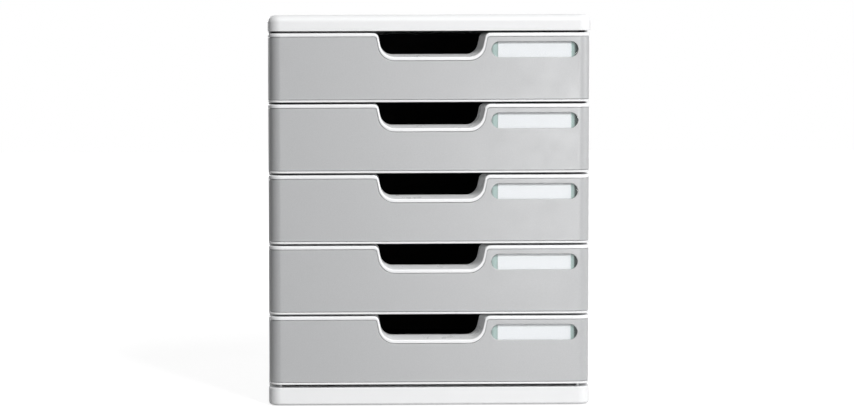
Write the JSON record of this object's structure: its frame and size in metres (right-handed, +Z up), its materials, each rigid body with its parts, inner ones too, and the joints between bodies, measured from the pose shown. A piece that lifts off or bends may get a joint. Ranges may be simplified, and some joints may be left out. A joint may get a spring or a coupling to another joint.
{
  "type": "desktop drawer cabinet",
  "caption": "Desktop cabinet of stacked sliding paper drawers with finger notches, clear label windows, a white casing and grey fronts.",
  "frame": {"origin": "bottom centre of the cabinet, on the plane that the feet stand on", "axes": "+Z up, the drawers open towards -Y, +X to the right seen from the front"},
  "size_m": [0.288, 0.364, 0.35],
  "materials": {
    "casing_white": "smooth satin moulded plastic",
    "frame_white": "smooth moulded plastic with a soft gloss",
    "panel_grey": "finely textured satin grey",
    "tray_black": "finely grained black",
    "window_clear": "clear, with a faint green tint",
    "card_paper": "uncoated white card, blank",
    "foot_rubber": "matt black"
  },
  "bodies": {
    "casing": {"base": "casing_white", "top_cover": "casing_white", "left_side_panel": "casing_white", "right_side_panel": "casing_white", "back_panel": "casing_white", "feet": "foot_rubber"},
    "drawer_1": {"drawer_1_tray": "tray_black", "drawer_1_front_frame": "frame_white", "drawer_1_front_panel": "panel_grey", "drawer_1_label_window": "window_clear", "drawer_1_label_card": "card_paper"},
    "drawer_2": {"drawer_2_tray": "tray_black", "drawer_2_front_frame": "frame_white", "drawer_2_front_panel": "panel_grey", "drawer_2_label_window": "window_clear", "drawer_2_label_card": "card_paper"},
    "drawer_3": {"drawer_3_tray": "tray_black", "drawer_3_front_frame": "frame_white", "drawer_3_front_panel": "panel_grey", "drawer_3_label_window": "window_clear", "drawer_3_label_card": "card_paper"},
    "drawer_4": {"drawer_4_tray": "tray_black", "drawer_4_front_frame": "frame_white", "drawer_4_front_panel": "panel_grey", "drawer_4_label_window": "window_clear", "drawer_4_label_card": "card_paper"},
    "drawer_5": {"drawer_5_tray": "tray_black", "drawer_5_front_frame": "frame_white", "drawer_5_front_panel": "panel_grey", "drawer_5_label_window": "window_clear", "drawer_5_label_card": "card_paper"}
  },
  "joints": [
    {"name": "drawer_1_slide", "type": "slide", "parent": "casing", "child": "drawer_1", "axis": [0, -1, 0], "range_m": [0, 0.249]},
    {"name": "drawer_2_slide", "type": "slide", "parent": "casing", "child": "drawer_2", "axis": [0, -1, 0], "range_m": [0, 0.249]},
    {"name": "drawer_3_slide", "type": "slide", "parent": "casing", "child": "drawer_3", "axis": [0, -1, 0], "range_m": [0, 0.249]},
    {"name": "drawer_4_slide", "type": "slide", "parent": "casing", "child": "drawer_4", "axis": [0, -1, 0], "range_m": [0, 0.249]},
    {"name": "drawer_5_slide", "type": "slide", "parent": "casing", "child": "drawer_5", "axis": [0, -1, 0], "range_m": [0, 0.249]}
  ]
}
